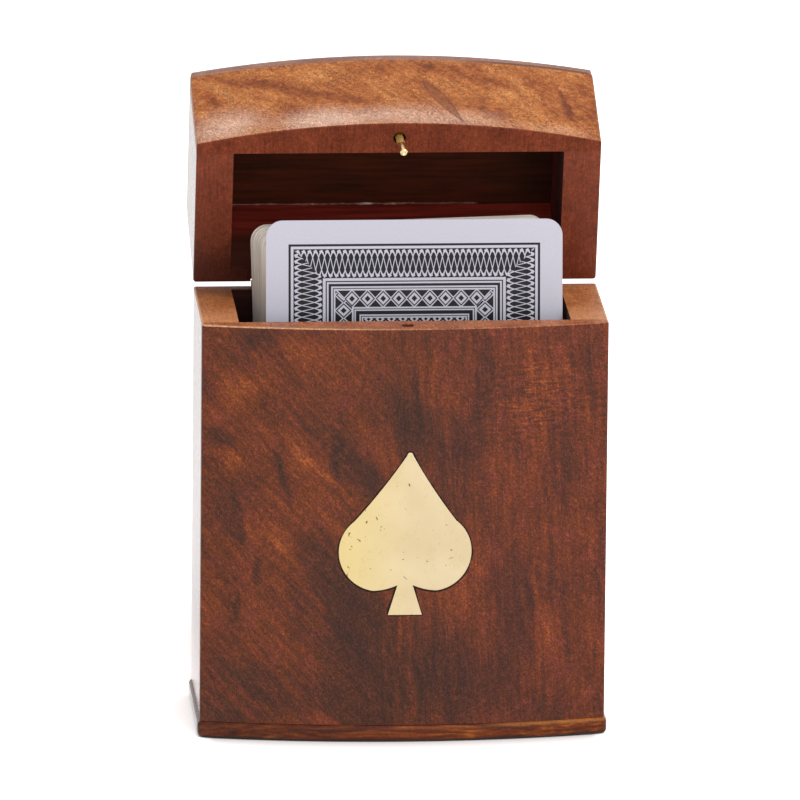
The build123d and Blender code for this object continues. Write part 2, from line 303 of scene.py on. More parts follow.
class Wood(Paint):
    """Lacquered hardwood: clouds of tone, streaks along the grain, fine curly fibres and pores."""

    def __init__(self, name, lid=False):
        super().__init__(name)
        self.lid = lid
        self.point = self.place(open_angle if lid else 0.0, hinge)
        self.x, self.y, self.z = self.parts_of(self.point)
        self.inside = hollow_mask(self)

    def lay_grain(self, across, along, through, wander=2.0, seed=0.0):
        """Sets which way the grain runs, and by how many millimetres it wanders."""
        bend_size = 10.0
        pull_x = 6.0
        pull_z = 4.0
        drift = self.noise(self.vector(across, through, along), bend_size) - 0.5
        self.across = across + drift * wander
        self.along = along + seed
        self.through = through
        # Soft marks are drawn on this pulled place, so that their outlines are uneven
        self.pulled = self.vector(self.x + drift * pull_x, 0.0, self.z + drift * pull_z)

    def grain(self, across, along, lean=0.0, detail=2.0, roughness=0.5, distortion=0.0):
        """Noise drawn out along the grain, with these sizes in millimetres and this slope."""
        leaned = self.across + self.along * lean
        place = self.vector(leaned / across, self.through / across, self.along / along)
        return self.noise(place, 1.0, detail, roughness, distortion)

    def blot(self, x, z, half_x, half_z, lean, strength):
        """A soft oval mark: its full strength in the middle and nothing past its rim."""
        flat = 1e5
        place = self.tree.nodes.new("ShaderNodeMapping")
        place.vector_type = "TEXTURE"
        place.inputs["Location"].default_value = (x, 0, z)
        place.inputs["Rotation"].default_value = (0, -math.radians(lean), 0)
        place.inputs["Scale"].default_value = (half_x, flat, half_z)
        self.tree.links.new(self.pulled, place.inputs["Vector"])
        far = self.tree.nodes.new("ShaderNodeVectorMath")
        far.operation = "LENGTH"
        self.tree.links.new(place.outputs[0], far.inputs[0])
        return Field(self.tree, far.outputs["Value"]).step(1.0, 0.0) * strength

    def blots(self, marks):
        """All the marks of a list, added up."""
        total = self.blot(*marks[0])
        for mark in marks[1:]:
            total = total + self.blot(*mark)
        return total

    def leaf(self, x, z, half_x, half_z, lean):
        """1 on the rim of a crisp pointed oval, where two arcs cross, and about half inside it."""
        turn = math.radians(lean)
        beside = self.x - x
        above = self.z - z
        along = above * math.cos(turn) - beside * math.sin(turn)
        across = above * math.sin(turn) + beside * math.cos(turn)
        share = along / half_z
        rim = (1.0 - share * share) * (share * 0.5 + 1.0) * half_x
        to_rim = rim - across.abs()
        inside = to_rim.step(-0.05, 0.1)
        outline = to_rim.abs().step(0.25, 0.05)
        return inside * 0.55 + outline * 0.45

    def pin_hole_shade(self):
        """1 in the countersink round the locating pin, where dark shade is painted."""
        radius = 1.25
        soft = 0.1
        depth = 3.0
        away = self.x.hypot(self.y - pin_y)
        return away.step(radius + soft, radius - soft) * (self.z - lid_rim).step(depth + 1.0, depth)

    def fibres(self, colour, size, depth):
        """Lays fine curly fibres over a colour: pale ridges and flecks on a darker ground."""
        fleck = self.grain(size, size * 1.5, lean=0.25, roughness=0.7, distortion=1.4)
        bend = self.grain(size * 2.2, size * 2.8, lean=0.3, detail=1.0, distortion=1.3)
        ridge = (bend - 0.5).abs().step(0.07, 0.0)
        height = fleck * 0.72 + ridge * 0.22
        # How much darker or lighter the red, green and blue are, from the ground to the crests
        changes = (
            (0.24, (-0.42, -0.44, -0.46)),
            (0.40, (-0.08, -0.08, -0.08)),
            (0.66, (0.80, 0.72, 0.66)),
        )
        gain = self.ramp(height, [
            (position, [1 + change * depth for change in rgb] + [1.0]) for position, rgb in changes
        ])
        return self.mix(1.0, colour, gain, "MULTIPLY"), height

    def curls(self, size, width):
        """1 on short curly dark pores, which break up here and there."""
        bend = self.grain(size, size * 1.2, lean=0.4, detail=1.0, distortion=1.6)
        thin = (bend - 0.5).abs().step(width, width * 0.3)
        broken = self.grain(size * 0.8, size * 0.8, detail=1.0).step(0.42, 0.56)
        return thin * broken

    def finish(self, colour, relief, pore, gloss):
        """The inside's dark stain and painted shade, the lacquer's gloss and the grain's relief."""
        self.set("Base Color", self.mix(self.inside, colour, self.stain_and_shade()))
        self.set("IOR", 1.5)
        self.set("Specular IOR Level", gloss)
        self.bump(relief - pore * 0.8, distance=0.02, strength=0.5)

    def satin(self, relief, roughness):
        """Satin lacquer: a little duller on the fibres' crests, and duller still inside."""
        crests = 0.12
        self.set("Roughness", relief * crests + (roughness - crests / 2) + self.inside * 0.3)

    def stain_and_shade(self):
        """The dark red stain inside, with painted shade: near-black in the body's hollow, darker away
        from the lid's rim and on its side walls, browner on the lid's ceiling and darker to its right,
        with faint rubbed streaks.
        """
        length = 16.0
        width = 1.2
        streak = self.vector(self.x / length, self.y / width, self.z / width)
        rubbed = self.noise(streak, detail=3.0, roughness=0.6)
        # Stain and painted shade: the body's hollow is near-black
        if not self.lid:
            return self.ramp(rubbed, [(0.3, linear(30, 6, 2)), (0.7, linear(60, 18, 8))])
        wall = self.ramp(rubbed, [(0.3, linear(122, 34, 22)), (0.7, linear(186, 62, 44))])
        height = lid_ceiling - lid_rim
        # Painted shade: the lid's walls darken away from its rim, deep in the hollow
        deeper_shade = (self.z - lid_rim).step(height * 0.78, height * 0.4)
        wall = self.mix(deeper_shade * 0.92, wall, linear(58, 22, 8))
        # Painted shade: the lid's side walls are darker still
        on_side = (self.x.abs() - inside_x).step(-0.3, -0.15)
        wall = self.mix(on_side, wall, self.mix(0.5, wall, linear(40, 14, 9)))
        ceiling = self.ramp(rubbed, [(0.3, linear(58, 22, 6)), (0.7, linear(100, 42, 15))])
        to_right = self.x.step(12.0, 30.0)
        ceiling = self.mix(to_right * 0.45, ceiling, linear(20, 8, 3))
        on_ceiling = (self.z - lid_ceiling).step(-0.4, -0.2)
        return self.mix(on_ceiling, wall, ceiling)


def tone_of(parts, level=0.5):
    """A tone about this level: fields about 0.5, each times its weight, added up."""
    tone = None
    for field, weight in parts:
        change = (field - 0.5) * weight
        tone = change if tone is None else tone + change
    return tone + level


def sawn_rim(wood, dark, light):
    """The sawn rim's colour: fine marks along the saw's way."""
    marks = wood.noise(wood.vector(wood.x / 0.3, wood.y / 5.0, 0.0), detail=3.0, roughness=0.65)
    ripple_place = wood.vector(wood.x / 1.1, wood.y / 1.7, 0.0)
    ripple = wood.noise(ripple_place, detail=3.0, roughness=0.6, distortion=1.5)
    cloud = wood.noise(wood.point, 6.0)
    return wood.ramp(marks * 0.4 + ripple * 0.35 + cloud * 0.25, [(0.36, dark), (0.64, light)])


def behind_front(wood):
    """How far a place lies behind the bowed front face, in millimetres."""
    share = wood.x / half_width
    return wood.y - share * share * bow_rise - front_y


def edge_highlight(wood):
    """Above 0 along the outer edges of the body's rim, where a pale highlight is painted."""
    side = (wood.x.abs() - half_width).step(-0.5, -0.2)
    front = behind_front(wood).step(0.7, 0.3) * wood.x.step(12.0, -24.0)
    return side.greater(front) * 0.55


# Dark and light tones of the sawn rims, and the tone of the highlight painted along their outer edges
body_rim_tones = (linear(140, 72, 32), linear(222, 144, 86))
front_rim_tones = (linear(136, 70, 42), linear(206, 130, 86))
lid_rim_tones = (linear(92, 35, 16), linear(148, 70, 43))
highlight_tone = linear(244, 198, 154)

# The front board's figure: middle x and z, half sizes, lean in degrees, change of tone
front_marks = [
    (2.0, 64.0, 10.0, 13.0, 0.0, -0.36),
    (-7.0, 51.0, 6.0, 11.0, 25.0, -0.30),
    (10.5, 58.0, 6.0, 17.0, -14.0, -0.24),
    (15.0, 74.0, 2.8, 9.0, 0.0, -0.34),
    (31.0, 56.0, 7.0, 11.0, 0.0, -0.28),
    (3.0, 11.0, 34.0, 18.0, 0.0, -0.38),
    (-8.0, 22.0, 12.0, 12.0, 30.0, -0.18),
    (-32.0, 9.0, 12.0, 14.0, 20.0, -0.27),
    (31.0, 5.0, 11.0, 7.0, 0.0, -0.12),
    (36.0, 76.0, 3.2, 6.5, -10.0, -0.24),
    (-13.0, 30.0, 11.0, 16.0, 30.0, -0.26),
    (21.0, 26.0, 5.5, 18.0, 8.0, -0.24),
    (-33.0, 44.0, 4.0, 12.0, 20.0, -0.26),
    (-29.0, 79.5, 7.0, 3.6, 0.0, -0.24),
    (-24.0, 53.0, 1.6, 11.0, 8.0, -0.34),
    (-13.0, 56.0, 1.4, 9.0, 0.0, -0.34),
    (-36.0, 60.0, 3.0, 4.0, 40.0, -0.26),
    (-28.0, 34.0, 1.3, 5.5, -4.0, -0.34),
    (-30.5, 42.0, 1.4, 4.0, 0.0, -0.28),
    (-33.0, 26.0, 1.4, 4.5, 0.0, -0.30),
    (24.2, 28.0, 1.6, 8.0, 6.0, -0.34),
    (16.5, 31.0, 2.2, 7.0, 6.0, -0.28),
    (-31.0, 70.0, 9.0, 6.0, 30.0, 0.30),
    (-19.0, 57.0, 3.4, 10.0, 44.0, 0.32),
    (-34.0, 55.0, 3.0, 5.0, 30.0, 0.32),
    (-20.0, 77.0, 9.0, 4.0, 0.0, 0.16),
    (-25.0, 40.0, 3.4, 9.0, 42.0, 0.26),
    (-15.0, 4.0, 3.0, 6.0, 45.0, 0.30),
    (-33.0, 8.0, 3.0, 6.0, 40.0, 0.20),
    (-28.0, 30.0, 7.0, 12.0, 35.0, 0.14),
    (27.0, 20.0, 4.6, 15.0, 6.0, 0.20),
    (25.0, 70.0, 9.0, 9.0, 0.0, 0.12),
]

# Where the front board has fine ripples across its grain, and their strength
front_ripples = (25.0, 67.0, 19.0, 17.0, 0.0, 1.7)

# The figure of the lid's front board, in the same way
lid_marks = [
    (6.0, 98.0, 2.4, 5.0, 40.0, -0.20),
    (-26.0, 99.5, 3.2, 13.0, 70.0, -0.36),
    (-12.0, 93.5, 3.0, 12.0, 68.0, -0.30),
    (-36.0, 95.0, 3.0, 7.0, 10.0, -0.24),
    (17.0, 99.5, 3.4, 12.0, 66.0, -0.30),
    (-22.0, 91.5, 2.2, 10.0, 62.0, -0.22),
    (33.0, 93.0, 1.3, 10.5, 15.0, -0.42),
    (38.0, 93.0, 5.0, 14.0, 0.0, -0.24),
    (22.0, 95.0, 9.0, 4.5, 20.0, 0.14),
    (6.0, 103.0, 22.0, 3.0, 0.0, -0.16),
    (-31.0, 92.0, 12.0, 9.0, 0.0, 0.12),
    (-15.0, 101.0, 6.0, 3.0, 0.0, 0.22),
]

# Painted sheen: where the lid's front is painted paler and pinker near its rim, standing in for a
# reflection
painted_lid_sheen = [
    (-14.0, 84.5, 15.0, 7.0, 0.0, 0.95),
    (2.0, 84.5, 14.0, 6.5, 0.0, 0.70),
    (-33.0, 86.0, 11.0, 8.5, 0.0, 0.78),
    (15.0, 84.0, 12.0, 5.0, 0.0, 0.50),
    (31.0, 83.5, 12.0, 3.0, 0.0, 0.25),
]


def front_wood():
    """The bowed front of the body: dark clouds, and streaks that lean over on its left."""
    wood = Wood("front_wood")
    wood.lay_grain(wood.x, wood.z, wood.y)
    leaning = wood.x.step(2.0, -16.0)
    upright = 1.0 - leaning
    lean = 0.9
    slight = 0.06
    streak = wood.grain(1.3, 11.0, lean) * leaning + wood.grain(1.3, 13.0, slight) * upright
    strand = wood.grain(0.32, 5.0, lean) * leaning + wood.grain(0.3, 6.0, slight) * upright
    cloud = wood.grain(7.0, 12.0, lean=0.3, detail=3.0)
    tone = tone_of([(cloud, 0.65), (streak, 0.75), (strand, 0.55)])
    ripple = wood.noise(wood.vector(wood.x / 2.8, 0.0, wood.z / 0.55), distortion=0.8)
    tone = tone + (ripple - 0.5) * wood.blot(*front_ripples)
    tone = (tone + wood.blots(front_marks)).clamped()
    colour = wood.ramp(tone, [
        (0.04, linear(61, 37, 29)),
        (0.30, linear(83, 45, 31)),
        (0.54, linear(108, 54, 31)),
        (0.76, linear(131, 66, 35)),
        (0.97, linear(157, 86, 41)),
    ])
    flush = wood.noise(wood.point, 4.0, detail=3.0).step(0.46, 0.7) * tone.step(0.25, 0.5)
    rosy = flush * 0.36 + wood.x.step(-5.0, 20.0) * 0.12
    colour = wood.mix(rosy, colour, linear(124, 58, 50))
    sawn = sawn_rim(wood, *front_rim_tones)
    # Painted highlight: a pale line along the rim's outer edges
    sawn = wood.mix(edge_highlight(wood), sawn, highlight_tone)
    colour = wood.mix(rim_mask(wood), colour, sawn)
    colour, fleck = wood.fibres(colour, size=0.34, depth=1.12)
    pore = wood.curls(size=1.1, width=0.03)
    colour = wood.mix(pore * 0.3, colour, linear(52, 26, 18))
    wood.finish(colour, fleck, pore, gloss=0.18)
    wood.satin(fleck, roughness=0.42)
    return wood.material


def side_wood(name, lid):
    """The flat boards: sides, backs and floor. Their lacquer is smooth, and the sawn rims are dull."""
    wood = Wood(name, lid)
    wood.lay_grain(wood.y + wood.x * 0.5, wood.z, wood.x, seed=3.7)
    tone = tone_of([(wood.grain(8.0, 14.0, detail=3.0), 0.8), (wood.grain(1.4, 14.0), 0.9)])
    colour = wood.ramp(tone.clamped(), [
        (0.10, linear(84, 38, 18)),
        (0.45, linear(122, 57, 26)),
        (0.75, linear(149, 76, 32)),
        (0.95, linear(170, 98, 46)),
    ])
    rim = rim_mask(wood)
    to_left = wood.x.step(10.0, -10.0)
    if lid:
        # Painted shade: the lid's rims darken toward the hinge, more on the left
        hinge_shade = wood.y.step(1.0, 15.0) * (to_left * 0.6 + 0.15)
        sawn = wood.mix(hinge_shade, sawn_rim(wood, *lid_rim_tones), linear(40, 12, 5))
    else:
        # Painted shade and light: the body's rims darken toward the hinge under the open lid, more on
        # the left, and are paler toward the front
        hinge_shade = wood.y.step(3.0, 15.0) * to_left
        front_light = wood.y.step(3.0, -8.0)
        sawn = wood.mix(hinge_shade * 0.65, sawn_rim(wood, *body_rim_tones), linear(76, 38, 22))
        sawn = wood.mix(front_light * 0.4, sawn, linear(234, 164, 116))
        # Painted highlight: a pale line along the rim's outer edges
        sawn = wood.mix(edge_highlight(wood), sawn, highlight_tone)
    colour = wood.mix(rim, colour, sawn)
    colour, fleck = wood.fibres(colour, size=0.5, depth=0.5)
    pore = wood.curls(size=1.1, width=0.025)
    colour = wood.mix(pore * 0.3, colour, linear(56, 28, 18))
    wood.finish(colour, fleck, pore, gloss=0.3)
    smooth = 0.09
    rim_dull = 0.5
    inside_dull = 0.85
    dull = rim * (rim_dull - smooth) + wood.inside * (inside_dull - smooth)
    wood.set("Roughness", dull + smooth)
    return wood.material


def lid_wood():
    """The lid's front: the same golden wood, painted lighter than the body's for the light on its
    upturned face, with a painted pinkish sheen by its rim.
    """
    wood = Wood("lid_wood", lid=True)
    wood.lay_grain(wood.x, wood.z, wood.y, seed=8.1)
    cloud = wood.grain(6.0, 9.0, lean=0.7, detail=3.0)
    streak = wood.grain(1.1, 7.0, lean=0.9)
    mottle_place = wood.vector(wood.x / 2.2, 0.0, wood.z / 1.8)
    mottle = wood.noise(mottle_place, detail=3.0, roughness=0.6, distortion=1.6)
    tone = tone_of([(cloud, 0.9), (streak, 0.5), (mottle, 0.95)], level=0.53)
    tone = (tone + wood.blots(lid_marks)).clamped()
    # Painted light: these tones are lighter than the body's, standing in for the light on the lid's
    # upturned front as well as the wood's own golden colour
    colour = wood.ramp(tone, [
        (0.05, linear(118, 56, 22)),
        (0.28, linear(156, 81, 33)),
        (0.52, linear(188, 111, 54)),
        (0.78, linear(209, 136, 74)),
        (0.96, linear(228, 162, 92)),
    ])
    # Painted sheen: the lid's front is mixed toward a pale pink near its rim, standing in for a
    # reflection, and the pores show less there
    sheen_paint = wood.blots(painted_lid_sheen).clamped()
    colour = wood.mix(sheen_paint * (mottle * 0.3 + 0.8), colour, linear(232, 192, 170))
    colour = wood.mix(rim_mask(wood), colour, sawn_rim(wood, *lid_rim_tones))
    colour, fleck = wood.fibres(colour, size=0.4, depth=0.7)
    patches = wood.noise(wood.point, 5.0).step(0.3, 0.62)
    pore = wood.curls(size=0.8, width=0.08) * (patches * 0.7 + 0.3) * (1.0 - sheen_paint * 0.6)
    colour = wood.mix(pore * 0.85, colour, linear(112, 54, 22))
    leaf = wood.leaf(x=8.9, z=90.4, half_x=1.25, half_z=8.4, lean=24.5)
    colour = wood.mix(leaf * 0.95, colour, linear(118, 63, 40))
    # Painted shade: the countersink round the pin is near-black
    colour = wood.mix(wood.pin_hole_shade(), colour, linear(22, 9, 4))
    wood.finish(colour, fleck, pore, gloss=0.16)
    wood.satin(fleck, roughness=0.4)
    return wood.material


def lid_top_wood():
    """The lid's top board: brown, with a painted pinkish sheen along its front edge, and a dark joint
    line under it.
    """
    wood = Wood("lid_top_wood", lid=True)
    wood.lay_grain(wood.y, wood.x, wood.z, seed=5.2)
    tone = tone_of([(wood.grain(7.0, 16.0, detail=3.0), 0.8), (wood.grain(1.3, 14.0), 0.8)])
    board = wood.ramp(tone.clamped(), [
        (0.10, linear(104, 50, 22)),
        (0.45, linear(142, 75, 33)),
        (0.75, linear(170, 99, 48)),
        (0.95, linear(192, 121, 66)),
    ])
    # Painted sheen: paler, pinker tones on the front edge, standing in for the reflection on its
    # rounded edge
    edge = wood.ramp(tone.clamped(), [
        (0.10, linear(122, 78, 62)),
        (0.45, linear(152, 106, 88)),
        (0.75, linear(174, 132, 114)),
        (0.95, linear(194, 154, 136)),
    ])
    edge_sheen_mask = behind_front(wood).step(2.4, 1.2)
    colour = wood.mix(edge_sheen_mask, board, edge)
    seam = (wood.z - lid_ceiling).step(0.8, 0.4) * wood.x.step(8.0, 22.0)
    colour = wood.mix(seam * 0.8, colour, linear(84, 44, 34))
    colour, fleck = wood.fibres(colour, size=0.42, depth=0.5)
    pore = wood.curls(size=1.0, width=0.03)
    colour = wood.mix(pore * 0.4, colour, linear(96, 50, 34))
    wood.finish(colour, fleck, pore, gloss=0.28)
    wood.satin(fleck, roughness=0.38)
    return wood.material


def base_wood():
    """The base plate: grain from side to side, and polished on its left and right edges."""
    wood = Wood("base_wood")
    wood.lay_grain(wood.z, wood.x, wood.y, wander=1.0, seed=1.3)
    tone = tone_of([(wood.grain(0.5, 14.0), 1.5), (wood.grain(5.0, 12.0), 0.9)])
    colour = wood.ramp(tone.clamped(), [
        (0.12, linear(50, 19, 7)),
        (0.45, linear(94, 39, 13)),
        (0.75, linear(126, 60, 18)),
        (0.95, linear(164, 96, 32)),
    ])
    # Paler along its top edge toward the right
    pale_top_edge = (wood.z - base_top).step(-0.9, -0.3) * wood.x.step(12.0, 26.0)
    colour = wood.mix(pale_top_edge * 0.4, colour, linear(200, 128, 52))
    to_left = wood.x.step(-8.0, -24.0)
    colour = wood.mix(to_left * 0.4, colour, linear(66, 30, 16))
    # Painted shade: the base darkens along its bottom edge, where it meets the floor
    bottom_shade = wood.z.step(0.95, 0.2)
    colour = wood.mix(bottom_shade * 0.8, colour, linear(34, 22, 18))
    colour, fleck = wood.fibres(colour, size=0.4, depth=0.5)
    pore = wood.curls(size=1.0, width=0.03)
    colour = wood.mix(pore * 0.4, colour, linear(46, 24, 16))
    wood.finish(colour, fleck, pore, gloss=0.2)
    smooth = 0.1
    dull = 0.42
    on_side = (wood.x.abs() - base_side).step(-0.7, -0.3)
    wood.set("Roughness", on_side * (smooth - dull) + dull)
    return wood.material


# Brass

def spade_brass():
    """The spade's brushed brass: yellower on its left, with dark pits and faint smudges."""
    paint = Paint("spade_brass")
    point = paint.place()
    x, y, z = paint.parts_of(point)
    cloud = paint.noise(point, 8.0)
    colour = paint.ramp(cloud, [(0.3, linear(200, 180, 142)), (0.7, linear(210, 192, 158))])
    to_left = x.step(4.0, -14.0)
    colour = paint.mix(to_left * 0.8, colour, linear(210, 188, 128))
    brushed = paint.noise(paint.vector(x / 0.12, y / 0.12, z / 2.5))
    more_pits = x.step(-5.0, -11.0) * 0.07
    speck = paint.noise(point, 0.9, detail=1.0, distortion=0.8) + more_pits
    pit = speck.step(0.74, 0.78) * 0.85
    smudge = paint.noise(paint.vector(x / 0.25, y, z / 0.7)).step(0.54, 0.66)
    smudge = smudge * paint.noise(point, 3.0, detail=1.0).step(0.52, 0.66)
    colour = paint.mix(smudge * 0.3, colour, linear(176, 152, 96))
    colour = paint.mix(pit, colour, linear(84, 66, 34))
    paint.set("Base Color", colour)
    paint.set("Metallic", 1.0)
    paint.set("Roughness", brushed * 0.1 + cloud * 0.1 + 0.32)
    paint.bump(brushed * 0.3 - pit, distance=0.01, strength=0.4)
    return paint.material


def pin_brass():
    """The locating pin's brass: dull on its shank and polished at its tip."""
    paint = Paint("pin_brass")
    x, y, z = paint.parts_of(paint.place(open_angle, hinge))
    scratch = paint.noise(paint.vector(x / 0.2, y / 0.2, z / 1.5))
    tip = z.step(lid_rim - 2.2, lid_rim - 2.9)
    shank = paint.ramp(scratch, [(0.3, linear(196, 156, 76)), (0.7, linear(232, 198, 122))])
    paint.set("Base Color", paint.mix(tip, shank, linear(236, 216, 160)))
    paint.set("Metallic", 1.0)
    paint.set("Roughness", scratch * 0.1 - tip * 0.4 + 0.55)
    paint.bump(scratch, distance=0.01, strength=0.3)
    return paint.material


def tarnished_shaded_brass():
    """The hinges' brass: brown with tarnish and painted shade, for the shadow they lie in, and
    brighter where it is rubbed.
    """
    paint = Paint("tarnished_shaded_brass")
    point = paint.place()
    x, y, z = paint.parts_of(point)
    cloud = paint.noise(point, 3.5, detail=3.0, roughness=0.6)
    brushed = paint.noise(paint.vector(x / 4.0, y / 0.15, z / 0.15))
    rubbed = cloud * 0.7 + brushed * 0.3
    # Tarnish and painted shade: dark brown tones
    colour = paint.ramp(rubbed, [
        (0.34, linear(112, 84, 46)),
        (0.52, linear(158, 126, 74)),
        (0.68, linear(192, 162, 106)),
    ])
    paint.set("Base Color", colour)
    paint.set("Metallic", 1.0)
    paint.set("Roughness", 0.55 - rubbed * 0.25)
    paint.bump(brushed, distance=0.008, strength=0.4)
    return paint.material


# Cards

def card_back():
    """Coated card with a printed back of plain geometric bands: waves, lozenges and lines."""
    paint = Paint("card_back")
    point = paint.place()
    x, _, z = paint.parts_of(point)
    low, high = box_mm("front_card")
    half_u = (high.x - low.x) / 2
    half_v = (high.z - low.z) / math.cos(card_lean) / 2
    u = x - (low.x + high.x) / 2
    v = (z - low.z) / math.cos(card_lean) - half_v
    ink = print_field(u, v, half_u, half_v)
    grain = paint.noise(point, 0.25)
    stock = paint.ramp(grain, [(0.3, linear(206, 204, 217)), (0.7, linear(212, 210, 223))])
    paint.set("Base Color", paint.mix(ink, stock, linear(14, 12, 18)))
    paint.set("Roughness", grain * 0.06 + 0.42)
    paint.set("Specular IOR Level", 0.25)
    paint.bump(grain, distance=0.004, strength=0.4)
    return paint.material


def line(field, middle, thickness):
    """1 on a line of this thickness about a value of the field."""
    soft = 0.04
    return (field - middle).abs().step(thickness / 2 + soft, thickness / 2 - soft)


def within(field, low, high):
    """1 where the field lies between two values."""
    soft = 0.04
    return field.step(low - soft, low + soft) * field.step(high + soft, high - soft)


def print_field(u, v, half_u, half_v):
    """Where the card is inked. The bands follow its four edges, and d is the depth from its frame."""
    side_margin = 4.3
    end_margin = 4.6
    from_side = half_u - side_margin - u.abs()
    from_end = half_v - end_margin - v.abs()
    d = from_side.lesser(from_end)
    upright = (from_end - from_side).step(-0.01, 0.01)
    s = u * (1.0 - upright) + v * upright
    # The plain lines of the frame: depth and thickness
    plain_lines = (
        (0.22, 0.44),
        (7.25, 0.22),
        (7.95, 0.5),
        (8.6, 0.16),
        (12.6, 0.16),
        (13.3, 0.7),
        (14.0, 0.16),
    )
    ink = wave_band(d, s, 0.95, 6.6).greater(lozenge_band(d, s, 9.0, 12.2))
    for middle, thickness in plain_lines:
        ink = ink.greater(line(d, middle, thickness))
    return ink.greater(lattice(u, v) * d.step(14.3, 14.4))


def wave_band(d, s, low, high):
    """A dark band with three pale waves that cross, and pale dots between them."""
    waves = 3
    period = 3.4
    margin = 0.45
    dot = 0.1
    half_strand = 0.22
    soft = 0.2
    middle = (low + high) / 2
    reach = (high - low) / 2 - margin
    from_dot = s.wrapped(period / waves).hypot((d - middle).abs() - reach)
    pale = from_dot.step(2 * dot, dot)
    turn = s * (2 * math.pi / period)
    for wave in range(waves):
        swing = (turn + wave * 2 * math.pi / waves).sine() * reach + middle
        pale = pale.greater((d - swing).abs().step(half_strand + soft, half_strand))
    return within(d, low, high) * (1.0 - pale)


def lozenge_band(d, s, low, high):
    """A row of pale lozenges on a dark ground, each with an outline and a solid heart."""
    middle = (low + high) / 2
    reach = (high - low) / 2
    period = 3.0
    shape = s.wrapped(period).abs() / (period / 2) + (d - middle).abs() / reach
    outline = line(shape, 0.86, 0.2)
    heart = shape.step(0.42, 0.34)
    outside = shape.step(1.12, 1.2)
    return within(d, low, high) * outline.greater(heart).greater(outside)


def lattice(u, v):
    """A fine diagonal lattice with a dot in each of its squares."""
    period = 2.2
    down = (u + v).wrapped(period).abs()
    up = (u - v).wrapped(period).abs()
    lines = down.lesser(up).step(0.3, 0.2)
    dots = (down - period / 2).abs().greater((up - period / 2).abs()).step(0.42, 0.34)
    return lines.greater(dots)


def card_edges():
    """The deck's cut edges, each card lighter or darker than the next, with painted shade low down by
    the box's rim, and the last card's face.
    """
    paint = Paint("card_edges")
    x, y, z = paint.parts_of(paint.place())
    up = Vector((0, math.sin(card_lean), math.cos(card_lean)))
    back = Vector((0, math.cos(card_lean), -math.sin(card_lean)))
    through = y * back.y + z * back.z
    thickness = 0.3
    layer = paint.noise(paint.vector(through / thickness, 0.0, 0.0), roughness=0.7)
    bundle = paint.noise(paint.vector(through / 1.5, 0.0, z / 60.0), roughness=0.7)
    wear = paint.noise(paint.vector(through / thickness, x / 12.0, z / 12.0))
    colour = paint.ramp(layer * 0.35 + bundle * 0.4 + wear * 0.25, [
        (0.36, linear(178, 162, 148)),
        (0.46, linear(226, 215, 204)),
        (0.54, linear(236, 227, 217)),
        (0.64, linear(252, 247, 241)),
    ])
    # Painted shade: the deck's edges darken toward the box's rim, where the walls shade them
    low_shade = z.step(body_rim + 16.0, body_rim - 3.0)
    colour = paint.mix(low_shade * 0.4, colour, linear(112, 84, 70))
    low, high = box_mm("card_deck")
    places = places_mm("card_deck")
    heights = [up.dot(place) for place in places]
    last_face = max(back.dot(place) for place in places)
    on_face = (through - last_face).step(-0.08, -0.04)
    u = x - (low.x + high.x) / 2
    v = y * up.y + z * up.z - (min(heights) + max(heights)) / 2
    face = paint.mix(pips(u, v), linear(222, 220, 226), linear(168, 24, 30))
    paint.set("Base Color", paint.mix(on_face, colour, face))
    paint.set("Roughness", wear * 0.1 + 0.55)
    paint.bump(layer, distance=0.02, strength=0.3)
    return paint.material


def pips(u, v):
    """A card's face: two columns of four diamonds, two between them and a small one by each corner."""
    half_column = 11.0
    row_pitch = 22.0
    last_row = 38.0
    large = (3.6, 5.0)
    small = (1.7, 2.4)
    row = v.wrapped(row_pitch).abs() - row_pitch / 2
    outer = pip(u.abs() - half_column, row, *large) * v.abs().step(last_row + 1.0, last_row)
    inner = pip(u, v.abs() - row_pitch, *large)
    corner = pip(u.abs() - 24.5, v.abs() - 37.5, *small)
    return outer.greater(inner).greater(corner)


def pip(u, v, half_u, half_v):
    """1 inside one diamond with hollow sides."""
    hollow = 0.85
    shape = (u.abs() / half_u).power(hollow) + (v.abs() / half_v).power(hollow)
    return shape.step(1.03, 0.97)


# Small pieces that are only looks

def new_piece(name, places, faces, material, body):
    """A piece from points in millimetres, which rides on a body."""
    mesh = bpy.data.meshes.new(name)
    mesh.from_pydata([place * MM for place in places], [], faces)
    shape = bmesh.new()
    shape.from_mesh(mesh)
    bmesh.ops.recalc_face_normals(shape, faces=shape.faces)
    for face in shape.faces:
        face.smooth = True
    shape.to_mesh(mesh)
    shape.free()
    mesh.materials.append(material)
    piece = bpy.data.objects.new(name, mesh)
    bpy.context.scene.collection.objects.link(piece)
    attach(piece, body)


def face_outline(node):
    """The outline of a node's front face, anticlockwise seen from the front, in millimetres."""
    shape = bmesh.new()
    shape.from_mesh(nodes[node].data)
    bmesh.ops.remove_doubles(shape, verts=shape.verts, dist=1e-6)
    forward = Vector((0, -1, 0))
    front = {face for face in shape.faces if face.normal.dot(forward) > 0.9}
    edges = [edge for edge in shape.edges if sum(face in front for face in edge.link_faces) == 1]
    beside = {}
    for edge in edges:
        for vertex in edge.verts:
            beside.setdefault(vertex, []).append(edge.other_vert(vertex))
    start = next(iter(beside))
    loop = [start, beside[start][0]]
    while loop[-1] is not start:
        loop.append(next(v for v in beside[loop[-1]] if v is not loop[-2]))
    outline = [vertex.co / MM for vertex in loop[:-1]]
    shape.free()
    area = sum(p.x * q.z - q.x * p.z for p, q in zip(outline, outline[1:] + outline[:1]))
    return outline if area > 0 else outline[::-1]


def divided(outline, longest):
    """A closed outline with points added, so that no step is longer than this."""
    places = []
    for place, following in zip(outline, outline[1:] + outline[:1]):
        count = max(1, math.ceil((following - place).length / longest))
        places += [place.lerp(following, step / count) for step in range(count)]
    return places


